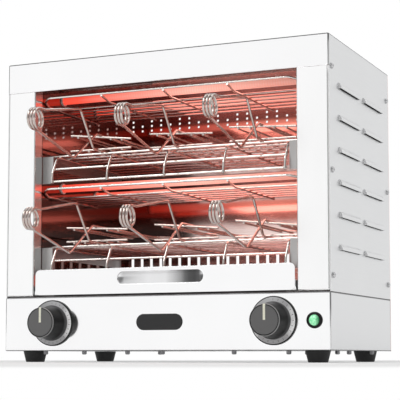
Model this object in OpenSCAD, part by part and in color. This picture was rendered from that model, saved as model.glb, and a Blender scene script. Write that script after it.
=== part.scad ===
// Two-deck clamp toaster: a folded steel cabinet with quartz heaters, wire racks and six spring-wire bread
// clamps, a crumb tray below and two controls on the base. The origin lies on the counter under the middle of
// the whole outline with the clamps pushed in, +X to the right, +Y into the cabinet and +Z up.

/* [Cabinet] */
// Width over the side panels
cabinet_w = 440; // [425:1:520]
// Depth over the front and back panels
cabinet_d = 256; // [250:1:320]
// Height of the casing above its feet
cabinet_h = 374; // [372:1:420]
// Thickness of the casing sheet
sheet_t = 1.2; // [0.8:0.1:1.6]
// Width of each front post
post_w = 41; // [37:0.5:44]
// Height of the fascia above the opening
fascia_h = 39; // [34:1:42]
// Depth of the returns folded in behind the front edges
return_d = 18; // [14:1:20]
// Gap left at folded seams and loose fits
fit_gap = 0.3; // [0.2:0.05:0.5]

/* [Base] */
// Height of the base pan
base_h = 68.5; // [64:0.5:80]
// Width of the rim turned in under the base
floor_rim = 34; // [30:1:44]
// Width of the rim turned in at the top of the base
deck_rim = 14; // [8:1:20]
// Height of the rubber feet
foot_h = 14; // [12:0.5:22]
// Diameter of a foot at the top
foot_top_d = 30.5; // [24:0.5:34]
// Diameter of a foot at the bottom
foot_bottom_d = 24; // [18:0.5:28]
// Distance of each foot from the side panel
foot_inset_x = 26.5; // [20:0.5:30]
// Distance of each foot from the front or back panel
foot_inset_y = 31; // [20:1:40]
// Diameter of the bolt through a foot
bolt_d = 5; // [4:0.5:6]

/* [Screws] */
// Diameter of the sheet screws
screw_d = 4; // [3:0.5:5]
// Diameter of their pan heads
screw_head_d = 7; // [6:0.5:9]
// Height of their pan heads
screw_head_h = 2.2; // [1.5:0.1:3]
// Length of a screw below its head
screw_len = 8; // [6:0.5:10]
// Clearance round screws, bolts and bushes
hole_gap = 0.1; // [0.05:0.05:0.3]

/* [Louvres] */
// Rows of louvres on each side
louvre_rows = 6; // [3:1:7]
// Distance between rows
louvre_pitch = 39; // [30:1:42]
// Height of the lowest louvre above the base seam
louvre_rise = 50.5; // [40:0.5:60]
// Length of a louvre
louvre_len = 82; // [60:1:90]
// Distance between the two columns of louvres
louvre_columns = 102; // [100:1:110]
// How far a louvre stands out of the panel
louvre_out = 3.5; // [2:0.1:5]
// Height of a louvre hood
louvre_h = 7; // [5:0.5:10]

/* [Decks] */
// Height of the lower rack above the base seam
rack_rise = 66.5; // [64:0.5:72]
// Height from the middle guard to the upper rack
heater_gap = 53; // [50:0.5:56]
// Height from the top guard to the top of the casing
head_room = 54; // [52:0.5:58]
// Diameter of the rack and guard wire
rack_wire_d = 3; // [2.5:0.1:3.4]
// Distance of the front rack wire behind the front
rack_set = 33; // [30:1:38]
// Distance between the cross wires of a rack
rack_pitch = 23; // [20:0.5:26]
// Number of cross wires in a rack
rack_wires = 9; // [7:1:9]
// Distance of the outer depth wires of a rack from the cavity wall
rack_edge = 19; // [18.5:0.5:30]
// Drop of the fence in front of a rack
fence_h = 36; // [32:1:37]
// Width of the rails that carry a rack
rail_w = 16; // [14:1:17]
// Height of those rails
rail_h = 13; // [10:0.5:15]
// Thickness of the rail sheet
rail_t = 1.2; // [0.8:0.1:1.5]
// How far welded wires sink into each other
weld = 0.4; // [0.2:0.05:0.6]

/* [Guards] */
// Rise of a guard's front wire above its grid
guard_lip = 7.5; // [5:0.5:9]
// Distance of a guard's front wire behind the front
guard_set = 10; // [8:0.5:14]
// Distance between the cross wires of a guard
guard_pitch = 20; // [18:0.5:24]
// Distance of a guard's outer depth wires from the middle bay's edge
guard_edge = 5; // [2:0.5:40]
// Length of the tabs that carry a guard
tab_w = 6; // [5:0.5:9]

/* [Heaters] */
// Diameter of a quartz tube
tube_d = 10; // [8:0.5:11]
// Wall of a quartz tube
tube_wall = 1; // [0.8:0.1:1.5]
// Diameter of the heating coil in a tube
coil_core_d = 5; // [3:0.5:5.5]
// Distance of the front tubes ahead of the middle
tube_front = 55; // [45:1:65]
// Distance of the rear tubes behind the middle
tube_back = 40; // [30:1:55]
// Height of the upper tubes above the guard that covers them
tube_rise = 16; // [14:0.5:18]
// Depth of the bottom tubes below the rack above them
floor_tube_drop = 36; // [30:0.5:38]
// Diameter of a ceramic cap
cap_d = 18; // [16:0.5:20]
// Length of a ceramic cap outside the cavity
cap_len = 22; // [18:1:28]
// Depth of the space above the roof reflector
roof_gap = 16; // [12:0.5:18]

/* [Back panel] */
// Distance between the columns of holes and slots
perf_pitch = 15; // [13:0.5:18]
// Least distance of those columns from the cavity wall
perf_edge = 13; // [8:0.5:30]
// Size of a hole
perf_d = 3.6; // [2.5:0.1:4.5]
// Distance between the rows of holes
perf_row = 7; // [5.5:0.1:7.5]
// Height of the top row below the top of the casing
perf_drop = 38; // [36:1:44]
// Width of a slot
slot_w = 4.5; // [3:0.1:6]
// Height of a slot
slot_h = 30; // [20:1:32]

/* [Crumb tray] */
// Gap at each end of the tray front
tray_side_gap = 3; // [1.5:0.5:8]
// Height of the tray front
tray_front_h = 32; // [28:0.5:34]
// Corner radius of the tray front
tray_corner = 6; // [3:0.5:9]
// Depth of the tray pan
tray_d = 222; // [180:1:228]
// Height of the tray walls
tray_wall_h = 12; // [8:0.5:14]
// Length of the grip recess
grip_w = 117; // [90:1:130]
// Height of the grip recess
grip_h = 16; // [14:0.5:18]
// Depth of the grip cup
grip_depth = 7; // [5:0.1:7.5]

/* [Controls] */
// Distance of each knob from the side panel
knob_inset = 70.5; // [64:0.5:100]
// Height of the knobs above the bottom of the base
knob_rise = 35.3; // [33:0.1:38]
// Diameter of a knob at its face
knob_d = 38; // [34:0.5:42]
// Diameter of a knob at its back
knob_skirt_d = 45; // [42:0.5:48]
// How far a knob stands out of the panel
knob_out = 32.5; // [28:0.5:36]
// Diameter of the dial ring behind a knob
dial_d = 58; // [50:0.5:60]
// Thickness of the dial ring
dial_t = 3; // [2:0.5:6]
// Diameter of a control shaft
shaft_d = 6; // [5:0.1:6.5]
// Running clearance of a shaft on its radius
shaft_gap = 0.05; // [0.02:0.01:0.09]
// Width of a pointer line
pointer_w = 2.6; // [1.5:0.1:4]
// Width and height of the switch and timer cases
switch_w = 44; // [36:1:46]
// Depth of the switch and timer cases
switch_d = 32; // [28:1:40]
// Distance of the pilot lamp from the side panel
lamp_inset = 20; // [17:0.5:30]
// Diameter of the lamp bezel
lamp_d = 19.5; // [18:0.5:22]
// Length of the badge plate
badge_w = 62; // [50:1:80]
// Height of the badge plate
badge_h = 20; // [16:0.5:24]

/* [Clamps] */
// Diameter of the clamp wire
clamp_wire_d = 3.2; // [2.8:0.1:3.4]
// Radius of the spring at the middle of its wire
coil_r = 11.8; // [10:0.1:14]
// Turns of the spring
coil_turns = 2.5; // [1.5:1:4.5]
// Distance between the turns
coil_pitch = 4; // [3.9:0.1:5]
// Height of the spring above the rack
coil_rise = 19.6; // [18.5:0.1:21]
// Depth of the upper bend behind the spring
upper_bend_y = 103; // [96:0.5:108]
// Height of the upper bend above the spring
upper_bend_z = 29; // [24:0.5:32]
// Depth of the lower bend behind the spring
lower_bend_y = 94; // [86:0.5:100]
// Drop of the lower bend below the spring
lower_bend_z = 34; // [28:0.5:36]
// Depth of the jaws behind the spring
jaw_y = 162; // [160:0.5:170]
// Width of the jaws
jaw_w = 88; // [70:1:90]
// Length of the jaws
jaw_len = 130; // [110:1:140]
// Height between the two jaws
jaw_gap = 15.9; // [15:0.1:18]
// Diameter of the cross bars of a jaw
jaw_bar_d = 3; // [2.5:0.1:3.2]
// Diameter of the rods of a jaw
jaw_rod_d = 2.5; // [2:0.1:3]
// Distance between the rods
jaw_rod_pitch = 16; // [12:0.5:17]
// Space between the arms where they cross
arm_gap = 0.8; // [0.6:0.1:1.2]

/* [Electrics] */
// Distance of the cable gland from the side panel
gland_inset = 70; // [50:1:120]
// Diameter of the gland's bore
gland_bore_d = 8.5; // [7:0.1:10]
// Diameter of the gland's thread
gland_d = 20; // [18:0.5:22]
// Length of the gland behind the back panel
gland_out = 16; // [14:0.5:22]
// Length of the terminal block
block_w = 60; // [50:1:70]
// Depth of the terminal block
block_d = 22; // [18:0.5:26]
// Height of the terminal block
block_h = 18; // [14:0.5:24]

/* [Hidden] */
$fn = 48;

// Places and tilts of the six clamps, upper deck first, from left to right
clamp_shifts = [8, 5.5, 10, 5, 13, 14];
clamp_pulls = [127, 111, 117, 130, 111, 108];
clamp_rolls = [6, 3, 3, 3, 5, 6];
ring_r = clamp_wire_d / 2 * 1.05;

// Planes of the casing, with the middle of the cabinet set back by half the difference of what stands out
half_w = cabinet_w / 2;
side_in = half_w - sheet_t;
mid_y = (max(clamp_pulls) + coil_r + ring_r - gland_out) / 2;
front_y = mid_y - cabinet_d / 2;
front_in = front_y + sheet_t;
back_y = mid_y + cabinet_d / 2;
back_in = back_y - sheet_t;
floor_z = foot_h + sheet_t;
base_top = foot_h + base_h;
deck_z = base_top + sheet_t;
top_z = foot_h + cabinet_h;
top_in = top_z - sheet_t;
fascia_z = top_z - fascia_h;
roof_z = top_z - roof_gap;
win = half_w - post_w;
wall_out = win + sheet_t;
wall_y = front_in + return_d;
floor_set = 2;
rest_gap = 0.2;
cut = 1;

// Heights of the decks and of the heaters between them
lower_rack_z = base_top + rack_rise;
guard_rise = (top_z - head_room - heater_gap - lower_rack_z) / 2;
middle_guard_z = lower_rack_z + guard_rise;
upper_rack_z = middle_guard_z + heater_gap;
top_guard_z = upper_rack_z + guard_rise;
tube_ys = [mid_y - tube_front, mid_y + tube_back];
tube_zs = [lower_rack_z - floor_tube_drop, middle_guard_z + tube_rise, top_guard_z + tube_rise];

// Places of the screws
side_screw_ys = [front_in + return_d / 2, back_in - return_d / 2];
side_screw_rise = 19.5;
side_screw_drop = 38;
side_screw_zs = [base_top + side_screw_rise, (base_top + top_z + side_screw_rise - side_screw_drop) / 2,
  top_z - side_screw_drop];
screw_hole_d = screw_d + 2 * hole_gap;
rear_tab_w = 16;
rear_screw_x = side_in - rear_tab_w / 2;
rear_screw_inset = 16;
rear_screw_zs = [foot_h + rear_screw_inset, base_top - rear_screw_inset];
flange_room = 1.6;
rear_flange_h = roof_gap - 2 * sheet_t - flange_room;
angle_w = 14;
angle_z = [deck_z + fit_gap, top_in - fit_gap];
angle_screw_x = side_in - angle_w / 2;
angle_screw_step = 20;
top_screw_inset = 100;
top_screw_xs = [top_screw_inset - half_w, 0, half_w - top_screw_inset];
top_screw_z = top_in - rear_flange_h / 2;
post_tab = 12;
return_end = screw_len + 2;
rim_in = 12;
front_screw_xs = half_w * [-0.76, -0.505, -0.227, -0.008, 0.425, 0.742];
back_screw_xs = half_w * [-0.5, 0.5];
left_screw_ys = [mid_y - cabinet_d * 0.25];
right_screw_ys = [mid_y - cabinet_d * 0.25, mid_y - cabinet_d * 0.066, mid_y + cabinet_d * 0.32];
floor_screws = [
  for (x = front_screw_xs) [x, front_in + rim_in],
  for (x = back_screw_xs) [x, back_in - floor_rim + rim_in],
  for (y = left_screw_ys) [rim_in - side_in, y],
  for (y = right_screw_ys) [side_in - rim_in, y]];
stud_h = 4.5;
stud_d = screw_d + 2;
foot_x = half_w - foot_inset_x;
foot_ys = [front_y + foot_inset_y, back_y - foot_inset_y];
foot_web = 5;
nut_h = 4;
nut_d = bolt_d * 1.85;
bolt_head_d = bolt_d * 1.7;
bolt_head_h = 3;
bolt_tail = 2;
bolt_room = 1;

// Controls
knob_x = half_w - knob_inset;
knob_z = foot_h + knob_rise;
knob_wall = 8;
bush_d = shaft_d + 4;
shaft_in = switch_d * 0.55;
pointer_t = 0.6;
pointer_edge = 0.5;
lamp_x = half_w - lamp_inset;
lamp_barrel_d = lamp_d - 3.7;
lamp_lens_d = lamp_barrel_d - 3;
lamp_len = 14;
lamp_lip = 3;
lamp_crown = 2;
badge_t = 1.5;
gland_x = half_w - gland_inset;
block_set = 60;
port_pitch = block_w / 5.5;
port_d = 5;

// Crumb tray
tray_w = 2 * (win - tray_side_gap);
tray_z = deck_z + fit_gap + cut;
runner_t = 1.2;
runner_end = 4;
runner_w = 20;
runner_h = 14;
pan_z = deck_z + runner_t + fit_gap;
pan_w = 2 * (win - fit_gap - runner_t - fit_gap);
grip_lift = 3.5;
grip_z = tray_z + tray_front_h / 2 + grip_lift;
grip_wall = 1;
grip_bowl_over = 12;
bowl_sides = 720;

// Rear wall pattern
perf_columns = 1 + floor(2 * (win - perf_edge) / perf_pitch);
perf_x0 = -perf_pitch * (perf_columns - 1) / 2;
perf_z = top_z - perf_drop;
slot_lift = 1;
slot_top = lower_rack_z + slot_lift;

// Wire racks and guards
wire_step = rack_wire_d - weld;
rack_y = front_y + rack_set;
rack_back = rack_y + rack_pitch * (rack_wires - 1);
rack_half = win - rail_w / 2;
rack_bay = (win - rack_edge) / 2;
fence_gap = 1.5;
fence_half = win - rail_w - fence_gap;
fence_start = rack_y - 2.5;
fence_bend = [8, wire_step];
fence_knee = [20, 24];
fence_toe = [22, fence_h + 2];
fence_path = [for (q = [fence_bend, fence_knee, fence_toe]) [rack_y - q[0], -q[1]]];
fence_mid_at = 0.7;
fence_low_at = 0.8;
function beside(a, b, t) = let (u = unit(b - a)) a + t * (b - a) + wire_step * [-u[1], u[0]];
fence_mid = beside(fence_path[0], fence_path[1], fence_mid_at);
fence_low = beside(fence_path[1], fence_path[2], fence_low_at);
rail_lead = 13;
rail_y = rack_y - rail_lead;
rail_end = 12;
rail_back = back_in - rail_end;
rail_toe = 1;
rest_z = -rack_wire_d / 2 - rest_gap;
guard_y = front_y + guard_set;
guard_half = win - fit_gap - rack_wire_d / 2;
guard_bay = (win - guard_edge) / 2;
guard_open = 56;
guard_grid = guard_y + guard_open;
guard_wires = 5;
guard_back = guard_grid + guard_pitch * guard_wires;
guard_slope = 23;
guard_bend_y = guard_y + guard_slope;
guard_corner = 12;
tab_t = 1.2;
tab_set = 18;
tab_ys = [guard_bend_y + tab_set, guard_back - tab_set];

// One clamp, measured from the middle of its spring
clamp_pitch = win * 0.61;
coil_w = coil_turns * coil_pitch;
coil_tail = clamp_wire_d;
coil_straight = 9;
coil_lead = coil_tail + coil_straight;
arm_x = (clamp_wire_d + arm_gap) / 2;
rod_step = (jaw_bar_d + jaw_rod_d) / 2 - weld;
arm_step = (jaw_bar_d + clamp_wire_d) / 2 - weld;
lower_run_z = -coil_rise + rack_wire_d / 2 + fit_gap + clamp_wire_d / 2;
lower_bar_z = lower_run_z + arm_step;
upper_bar_z = lower_bar_z + jaw_gap;
upper_run_z = upper_bar_z + arm_step;
lower_lead = 24;
upper_lead = 9;
lower_run_y = jaw_y - lower_lead;
upper_run_y = jaw_y - upper_lead;
bend_r = 5;
jaw_back = jaw_y + jaw_len;
rod_tail = 3;
jaw_side_rods = 2;

// The spring as a helix with eight rings to a turn, and a straight tail at each end
rings_per_turn = 8;
ring_sides = 6;
ring_count = coil_turns * rings_per_turn;
function coil_angle(i) = 90 + 360 * i / rings_per_turn;
function coil_point(i) = let (a = coil_angle(i))
  [coil_w / 2 - coil_pitch * i / rings_per_turn, coil_r * cos(a), coil_r * sin(a)];
function coil_out(i) = [0, cos(coil_angle(i)), sin(coil_angle(i))];
function tail_point(i) = coil_point(i) + [0, coil_tail, 0];
function ring(c, out) = [for (k = [0 : ring_sides - 1]) let (b = 360 * k / ring_sides)
  c + ring_r * (cos(b) * out + sin(b) * [1, 0, 0])];
coil_centres = [for (i = [0 : ring_count]) coil_point(i)];
coil_self_gap = min([for (i = [0 : ring_count], j = [0 : ring_count])
  if (j - i > rings_per_turn / 2) norm(coil_centres[i] - coil_centres[j])]) - 2 * ring_r;
echo(least_gap_between_spring_turns = coil_self_gap);

// Small helpers
module box(x, y, z) {
  translate([x[0], y[0], z[0]]) cube([x[1] - x[0], y[1] - y[0], z[1] - z[0]]);
}
module rod_x(x, y, z, d) {
  translate([x[0], y, z]) rotate([0, 90, 0]) cylinder(h = x[1] - x[0], d = d);
}
module rod_y(x, y, z, d) {
  translate([x, y[0], z]) rotate([-90, 0, 0]) cylinder(h = y[1] - y[0], d = d);
}
module rod_z(x, y, z, d) {
  translate([x, y, z[0]]) cylinder(h = z[1] - z[0], d = d);
}
module stadium_y(w, h, x, y, z) {
  box([x - (w - h) / 2, x + (w - h) / 2], y, [z - h / 2, z + h / 2]);
  for (s = [-1, 1]) rod_y(x + s * (w - h) / 2, y, z, h);
}
module mirror_x(on) {
  if (on) mirror([1, 0, 0]) children();
  else children();
}

// A bent wire through a list of points: each corner is eased into two smaller turns with a round knuckle at
// each, and the straight lengths stop just inside the knuckles
knuckle = 1.06;
knuckle_sink = 0.16;
knuckle_turn = [30, 40, 0];
function unit(v) = v / norm(v);
function turn_angle(u, v) = acos(max(-1, min(1, u * v)));
function bend_cut(p, i, r) = r * max(0.5, tan(turn_angle(unit(p[i] - p[i - 1]), unit(p[i + 1] - p[i])) / 2));
function eased(p, r) = let (last = len(p) - 1) [
  p[0],
  for (i = [1 : 1 : last - 1]) each
    [p[i] - unit(p[i] - p[i - 1]) * bend_cut(p, i, r), p[i] + unit(p[i + 1] - p[i]) * bend_cut(p, i, r)],
  p[last]];
module straight_wire(a, b, d) {
  v = b - a;
  translate(a) rotate([0, acos(v[2] / norm(v)), atan2(v[1], v[0])]) cylinder(h = norm(v), d = d);
}
module bent_wire(points, d, r) {
  p = eased(points, r);
  last = len(p) - 1;
  for (i = [0 : last - 1]) {
    sink = knuckle_sink * d * unit(p[i + 1] - p[i]);
    straight_wire(i > 0 ? p[i] + sink : p[i], i < last - 1 ? p[i + 1] - sink : p[i + 1], d);
  }
  for (i = [1 : last - 1]) translate(p[i]) rotate(knuckle_turn) sphere(d = d * knuckle);
}

// Base
module base_pan() {
  color("gainsboro")
  difference() {
    union() {
      difference() {
        box([-half_w, half_w], [front_y, back_in], [foot_h, base_top]);
        box([-side_in, side_in], [front_in, back_in + cut], [floor_z, base_top - sheet_t]);
        box([floor_rim - side_in, side_in - floor_rim], [front_in + floor_rim, back_in - floor_rim],
          [foot_h - cut, floor_z + cut]);
        box([deck_rim - side_in, side_in - deck_rim], [front_in + deck_rim, back_in + cut],
          [base_top - sheet_t - cut, base_top + cut]);
      }
      for (s = [0, 1]) mirror([s, 0, 0])
        box([side_in - rear_tab_w, side_in], [back_in - sheet_t, back_in], [floor_z, base_top - sheet_t]);
    }
    for (s = [-1, 1]) rod_y(s * knob_x, [front_y - cut, front_in + cut], knob_z, bush_d + 2 * hole_gap);
    rod_y(lamp_x, [front_y - cut, front_in + cut], knob_z, lamp_barrel_d + 2 * hole_gap);
    floor_holes();
    rear_tab_holes();
  }
}
module floor_holes() {
  for (p = floor_screws) rod_z(p[0], p[1], [foot_h - cut, floor_z + sheet_t + cut], screw_hole_d);
  for (s = [-1, 1], y = foot_ys)
    rod_z(s * foot_x, y, [foot_h - cut, floor_z + sheet_t + cut], bolt_d + 2 * hole_gap);
}
module rear_tab_holes() {
  for (s = [-1, 1], z = rear_screw_zs)
    rod_y(s * rear_screw_x, [back_in - sheet_t - cut, back_y + cut], z, screw_hole_d);
}
module bottom_plate() {
  color("silver")
  difference() {
    box([fit_gap - side_in, side_in - fit_gap], [front_in + fit_gap, back_in - sheet_t - fit_gap],
      [floor_z, floor_z + sheet_t]);
    floor_holes();
  }
}
module base_fasteners() {
  for (p = floor_screws) {
    rod_z(p[0], p[1], [foot_h - stud_h, foot_h], stud_d);
    rod_z(p[0], p[1], [foot_h - cut, foot_h + screw_len], screw_d);
  }
  for (s = [-1, 1], y = foot_ys) translate([s * foot_x, y, 0]) foot_bolt();
}
module foot_bolt() {
  seat = foot_h - foot_web;
  nut_z = floor_z + sheet_t;
  rod_z(0, 0, [seat - bolt_head_h, seat], bolt_head_d);
  rod_z(0, 0, [seat - cut, nut_z + nut_h + bolt_tail], bolt_d);
  difference() {
    translate([0, 0, nut_z]) cylinder(h = nut_h, d = nut_d, $fn = 6);
    rod_z(0, 0, [nut_z - cut, nut_z + nut_h + cut], bolt_d + 2 * hole_gap);
  }
}
module rubber_feet() {
  seat = foot_h - foot_web;
  color("black")
  for (s = [-1, 1], y = foot_ys) translate([s * foot_x, y, 0])
    difference() {
      cylinder(h = foot_h, d1 = foot_bottom_d, d2 = foot_top_d);
      rod_z(0, 0, [-cut, seat], bolt_head_d + bolt_room);
      rod_z(0, 0, [-cut, foot_h + cut], bolt_d + 2 * hole_gap);
    }
}

// Cavity
module cavity_floor() {
  color("lightgray")
    box([-side_in, side_in], [front_in + floor_set, back_in], [base_top, deck_z]);
}
module cavity_wall(left) {
  color("lightgray")
  mirror_x(left) {
    difference() {
      box([win, wall_out], [wall_y, back_in], [deck_z, roof_z]);
      for (y = tube_ys, z = tube_zs) rod_x([win - cut, wall_out + cut], y, z, cap_neck_d + 2 * hole_gap);
    }
    for (g = [middle_guard_z, top_guard_z], y = tab_ys)
      box([win - tab_w, win], [y - tab_w, y + tab_w], [g + rest_z - tab_t, g + rest_z]);
  }
}
module left_cavity_wall() { cavity_wall(true); }
module right_cavity_wall() { cavity_wall(false); }
module roof_reflector() {
  color("lightgray") {
    box([-wall_out, wall_out], [wall_y, back_in], [roof_z, roof_z + sheet_t]);
    box([fit_gap - win, win - fit_gap], [wall_y, wall_y + sheet_t], [fascia_z, roof_z]);
  }
}

// Outer casing
module back_panel() {
  color("gainsboro")
  difference() {
    box([-half_w, half_w], [back_in, back_y], [foot_h, top_in]);
    for (i = [0 : perf_columns - 1]) {
      x = perf_x0 + i * perf_pitch;
      for (row = [i % 3 == 1 ? 1 : 0 : 2])
        rotate([90, 0, 0]) translate([x, perf_z - row * perf_row, -back_y - cut])
          cylinder(h = sheet_t + 2 * cut, d = perf_d, $fn = 8);
      box([x - slot_w / 2, x + slot_w / 2], [back_in - cut, back_y + cut], [slot_top - slot_h, slot_top]);
    }
    rear_tab_holes();
    rear_angle_holes();
    for (x = top_screw_xs) rod_y(x, [back_in - cut, back_y + cut], top_screw_z, screw_hole_d);
    rod_y(gland_x, [back_in - cut, back_y + cut], knob_z, gland_d + 2 * hole_gap);
  }
}
module rear_angles() {
  color("darkgray")
  for (s = [0, 1]) mirror([s, 0, 0]) difference() {
    union() {
      box([side_in - sheet_t, side_in], [back_in - return_d, back_in], angle_z);
      box([side_in - angle_w, side_in], [back_in - sheet_t, back_in], angle_z);
    }
    side_screw_holes();
    rear_angle_holes();
  }
}
module rear_angle_holes() {
  for (s = [-1, 1], z = side_screw_zs)
    rod_y(s * angle_screw_x, [back_in - sheet_t - cut, back_y + cut], z + angle_screw_step, screw_hole_d);
}
module side_screw_holes() {
  for (y = side_screw_ys, z = side_screw_zs, s = [0, 1]) mirror([s, 0, 0])
    rod_x([side_in - 3 * sheet_t, half_w + cut], y, z, screw_hole_d);
}
module louvre() {
  reach = (louvre_h * louvre_h - louvre_out * louvre_out) / (2 * louvre_out);
  arc_r = reach + louvre_out;
  rotate([90, 0, 0]) translate([0, 0, -louvre_len / 2]) {
    linear_extrude(louvre_len) intersection() {
      difference() {
        translate([-reach, 0]) circle(r = arc_r);
        translate([-reach, 0]) circle(r = arc_r - sheet_t);
      }
      translate([-sheet_t / 2, 0]) square([louvre_out + sheet_t, louvre_h + sheet_t]);
    }
    for (end = [0, louvre_len - sheet_t]) translate([0, 0, end]) linear_extrude(sheet_t) intersection() {
      translate([-reach, 0]) circle(r = arc_r - sheet_t / 4);
      translate([-sheet_t / 2, 0]) square([louvre_out + sheet_t, louvre_h]);
    }
  }
}
module side_panel(left) {
  slit_h = louvre_h * 0.7;
  slit_half = louvre_len / 2 - sheet_t;
  color("gainsboro")
  mirror_x(left) {
    difference() {
      box([side_in, half_w], [front_in, back_in], [base_top + fit_gap, top_in]);
      side_screw_holes();
      louvre_places() box([-sheet_t - cut, cut], [-slit_half, slit_half], [0, slit_h]);
    }
    louvre_places() louvre();
  }
}
louvre_mid = mid_y + 1;
module louvre_places() {
  for (row = [0 : louvre_rows - 1], s = [-1, 1])
    translate([half_w, louvre_mid + s * louvre_columns / 2, base_top + louvre_rise + row * louvre_pitch])
      children();
}
module left_side_panel() { side_panel(true); }
module right_side_panel() { side_panel(false); }
module fasteners() {
  color("silver") {
    base_fasteners();
    for (y = side_screw_ys, z = side_screw_zs, s = [0, 1]) mirror([s, 0, 0]) {
      rod_x([half_w, half_w + screw_head_h], y, z, screw_head_d);
      rod_x([half_w - screw_len, half_w + cut], y, z, screw_d);
    }
    for (s = [-1, 1], z = rear_screw_zs) rear_screw(s * rear_screw_x, z);
    for (s = [-1, 1], z = side_screw_zs) rear_screw(s * angle_screw_x, z + angle_screw_step);
    for (x = top_screw_xs) rear_screw(x, top_screw_z);
  }
}
module rear_screw(x, z) {
  rod_y(x, [back_y, back_y + screw_head_h], z, screw_head_d);
  rod_y(x, [back_y - screw_len, back_y + cut], z, screw_d);
}
module front_post(left) {
  post_z = [deck_z + fit_gap, fascia_z];
  color("gainsboro")
  mirror_x(left)
  difference() {
    union() {
      box([win, side_in], [front_y, front_in], post_z);
      box([win, wall_out], [front_in - cut / 2, wall_y], post_z);
      box([side_in - sheet_t, side_in], [front_in - cut / 2, wall_y], post_z);
      box([side_in - sheet_t, side_in], [front_in + fit_gap, wall_y], [fascia_z - cut, fascia_z + post_tab]);
    }
    side_screw_holes();
  }
}
module left_front_post() { front_post(true); }
module right_front_post() { front_post(false); }
module top_cover() {
  color("gainsboro")
  difference() {
    union() {
      box([-half_w, half_w], [front_y, back_y], [top_in, top_z]);
      box([-half_w, half_w], [front_y, front_in], [fascia_z, top_z]);
      box([return_end - side_in, side_in - return_end], [front_in - cut / 2, wall_y],
        [fascia_z, fascia_z + sheet_t]);
      box([rear_tab_w * 2 - side_in, side_in - rear_tab_w * 2], [back_in - sheet_t, back_in],
        [top_in - rear_flange_h, top_in + cut / 2]);
    }
    for (x = top_screw_xs) rod_y(x, [back_in - sheet_t - cut, back_in + cut], top_screw_z, screw_hole_d);
  }
}

// Heaters
cap_neck_d = cap_d - 4;
cap_nose = 2;
cap_bore = tube_d + 2 * rest_gap;
cap_seat = 13;
tube_half = wall_out + cap_seat - rest_gap;
module quartz_tubes() {
  color("mistyrose")
  for (y = tube_ys, z = tube_zs) difference() {
    rod_x([-tube_half, tube_half], y, z, tube_d);
    rod_x([-tube_half - cut, tube_half + cut], y, z, tube_d - 2 * tube_wall);
  }
}
module heating_coils() {
  color("orangered")
  for (y = tube_ys, z = tube_zs) rod_x([-tube_half, tube_half], y, z, coil_core_d);
}
module ceramic_caps() {
  color("white")
  for (y = tube_ys, z = tube_zs, s = [0, 1]) mirror([s, 0, 0]) difference() {
    union() {
      rod_x([wall_out, wall_out + cap_len], y, z, cap_d);
      rod_x([win - cap_nose, wall_out + cut], y, z, cap_neck_d);
    }
    rod_x([win - cap_nose - cut, wall_out + cap_seat], y, z, cap_bore);
  }
}

// Wire guards and racks
module guard(z) {
  d = rack_wire_d;
  lip = z + guard_lip;
  color("silver") {
    bent_wire([
      [-guard_half, guard_back + d, z],
      [-guard_half, guard_bend_y, z],
      [-guard_half, guard_y + guard_corner, (z + 2 * lip) / 3],
      [guard_corner - guard_half, guard_y, lip],
      [guard_half - guard_corner, guard_y, lip],
      [guard_half, guard_y + guard_corner, (z + 2 * lip) / 3],
      [guard_half, guard_bend_y, z],
      [guard_half, guard_back + d, z]], d, d);
    for (i = [0 : guard_wires])
      rod_x([-guard_half - d / 3, guard_half + d / 3], guard_grid + i * guard_pitch, z + wire_step, d);
    for (x = [-guard_bay, 0, guard_bay])
      bent_wire([[x, guard_back + d, z], [x, guard_bend_y, z], [x, guard_y - d / 2, lip - wire_step]], d, d);
  }
}
module top_guard() { guard(top_guard_z); }
module middle_guard() { guard(middle_guard_z); }
module rack(z) {
  d = rack_wire_d;
  color("silver")
  translate([0, 0, z]) {
    for (i = [0 : rack_wires - 1]) rod_x([-rack_half, rack_half], rack_y + i * rack_pitch, 0, d);
    for (i = [-2 : 2]) rod_y(i * rack_bay, [fence_start, rack_back + d], -wire_step, d);
  }
}
module upper_rack() { rack(upper_rack_z); }
module lower_rack() { rack(lower_rack_z); }
module rack_fences() {
  d = rack_wire_d;
  color("silver")
  for (z = [lower_rack_z, upper_rack_z]) translate([0, 0, z]) {
    for (p = [fence_mid, fence_low]) rod_x([-fence_half, fence_half], p[0], p[1], d);
    for (i = [-2 : 2]) bent_wire(concat([[i * rack_bay, fence_start, -wire_step]],
      [for (p = fence_path) [i * rack_bay, p[0], p[1]]]), d, d * 2);
  }
}
module rack_rails() {
  color("darkgray")
  for (z = [lower_rack_z, upper_rack_z], s = [0, 1]) mirror([s, 0, 0]) {
    box([win - rail_w, win], [rail_y, rail_back], [z + rest_z - rail_t, z + rest_z]);
    box([win - rail_t, win], [rail_y, rail_back], [z + rest_z - rail_h, z + rest_z]);
    box([win - rail_w, win], [rail_y, rail_y + rail_t], [z - fence_h - rail_toe, z + rest_z]);
  }
}

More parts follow.
